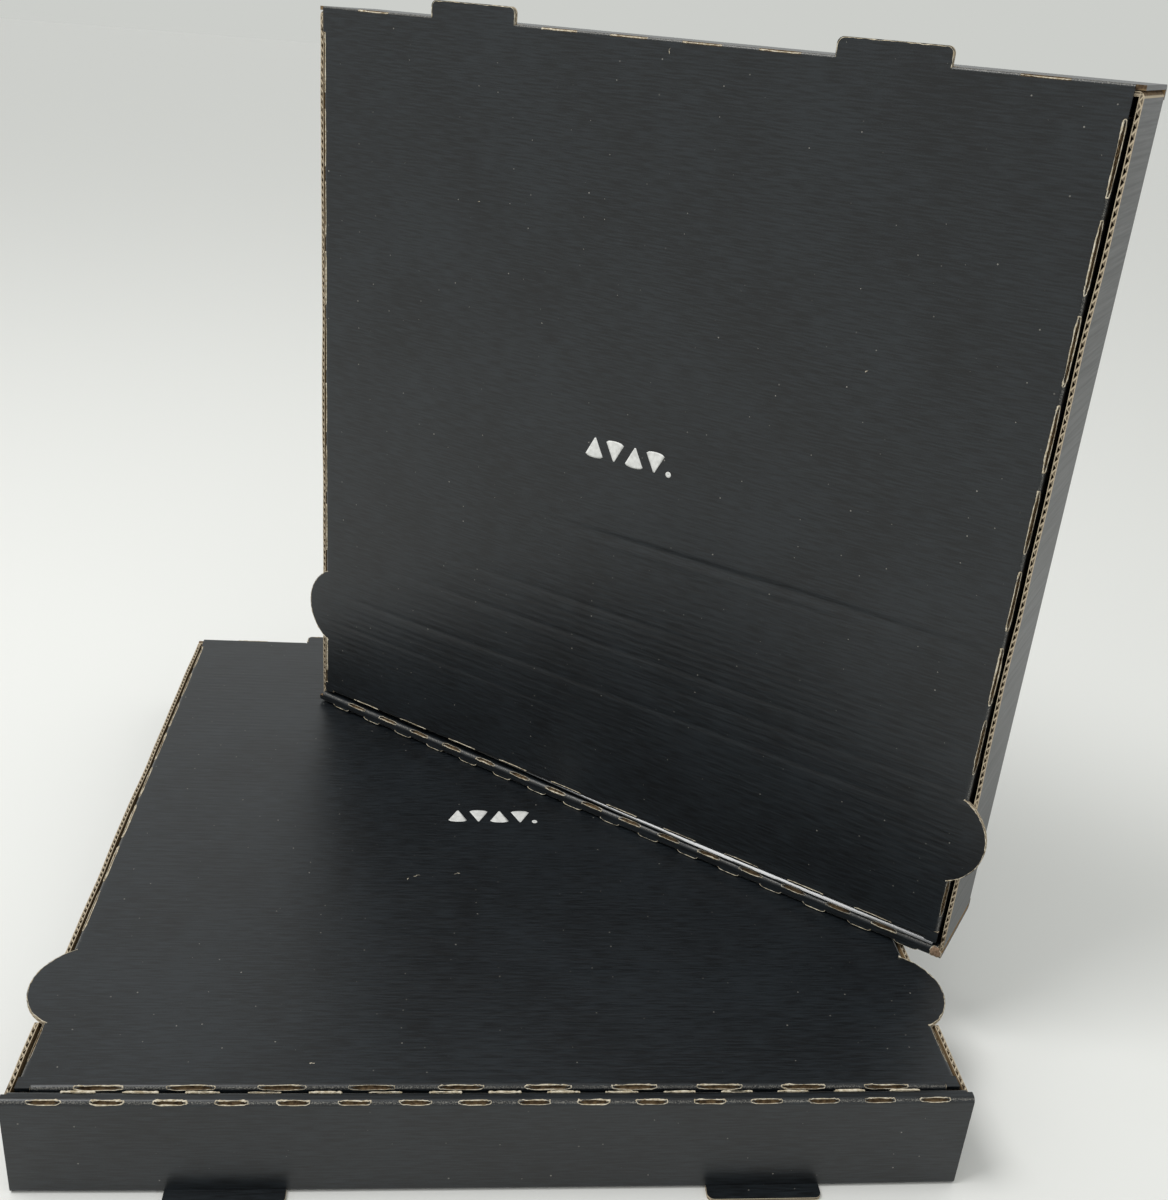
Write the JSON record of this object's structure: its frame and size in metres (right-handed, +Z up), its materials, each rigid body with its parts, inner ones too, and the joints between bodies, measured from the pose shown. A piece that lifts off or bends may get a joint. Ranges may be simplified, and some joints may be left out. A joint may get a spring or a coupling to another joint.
{
  "type": "stack of pizza boxes",
  "caption": "Stack of alike black corrugated pizza boxes with slit folds and roll-over fronts. The lower lies closed; the upper stands on edge across it, with a lid that opens.",
  "frame": {"origin": "on the underside of the lower box's base, under the middle of its lid", "axes": "+Z up; +X to the right across the lower box, along its front; +Y from its front to its back"},
  "size_m": [0.3793, 0.351, 0.386],
  "materials": {
    "lower_box_board": "corrugated board, printed black outside with a satin varnish, brown cut edges",
    "upper_tray_board": "corrugated board, printed black outside with a satin varnish, brown cut edges",
    "upper_lid_board": "corrugated board, printed black outside with a satin varnish, brown cut edges"
  },
  "bodies": {
    "stack": {"lower_box": "lower_box_board", "upper_tray": "upper_tray_board"},
    "lid": {"upper_lid": "upper_lid_board"}
  },
  "joints": [
    {"name": "upper_lid_hinge", "type": "hinge", "parent": "stack", "child": "lid", "pos_m": [0.04447, 0.00065, 0.3789], "axis": [-0.809, 0.5878, 0], "range_deg": [0, 180]}
  ]
}
